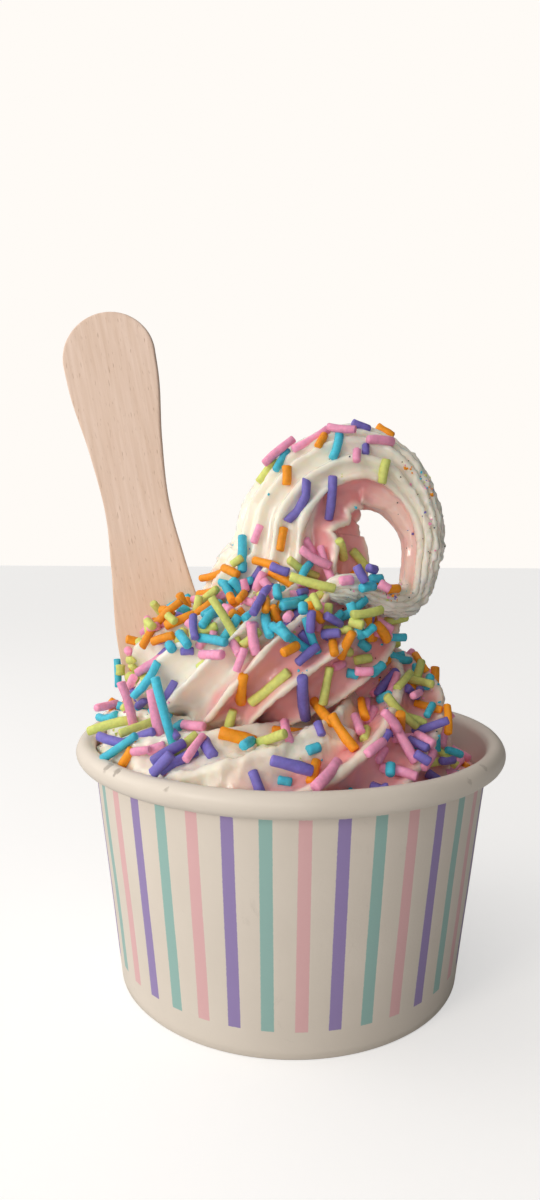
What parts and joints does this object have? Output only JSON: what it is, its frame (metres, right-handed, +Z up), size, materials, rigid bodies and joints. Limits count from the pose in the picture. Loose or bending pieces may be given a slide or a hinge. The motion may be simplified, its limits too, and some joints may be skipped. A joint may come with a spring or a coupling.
{
  "type": "soft serve cup",
  "caption": "Paper tub of twisted vanilla and strawberry soft serve ending in an open curl, dressed with sugar sprinkles, with a wooden spoon standing in it.",
  "frame": {"origin": "on the table, under the middle of the whole object's box; the cup's own axis stands 2.9 mm to the right of it, at x = 0.00286", "axes": "+Z up along the cup's axis; -Y is the front, towards which the open curl and the spoon's flat face look; +X is the right, where the curl hangs over"},
  "size_m": [0.0928, 0.087, 0.1361],
  "materials": {
    "coated_paper": "coated off-white paper with printed pastel stripes, satin",
    "soft_serve": "vanilla and strawberry soft serve, creamy and moist, with coloured sugar sprinkles",
    "birch_wood": "bare smooth birch, fine straight grain"
  },
  "bodies": {
    "root": {"paper_cup": "coated_paper", "soft_serve": "soft_serve", "wooden_spoon": "birch_wood"}
  },
  "joints": []
}
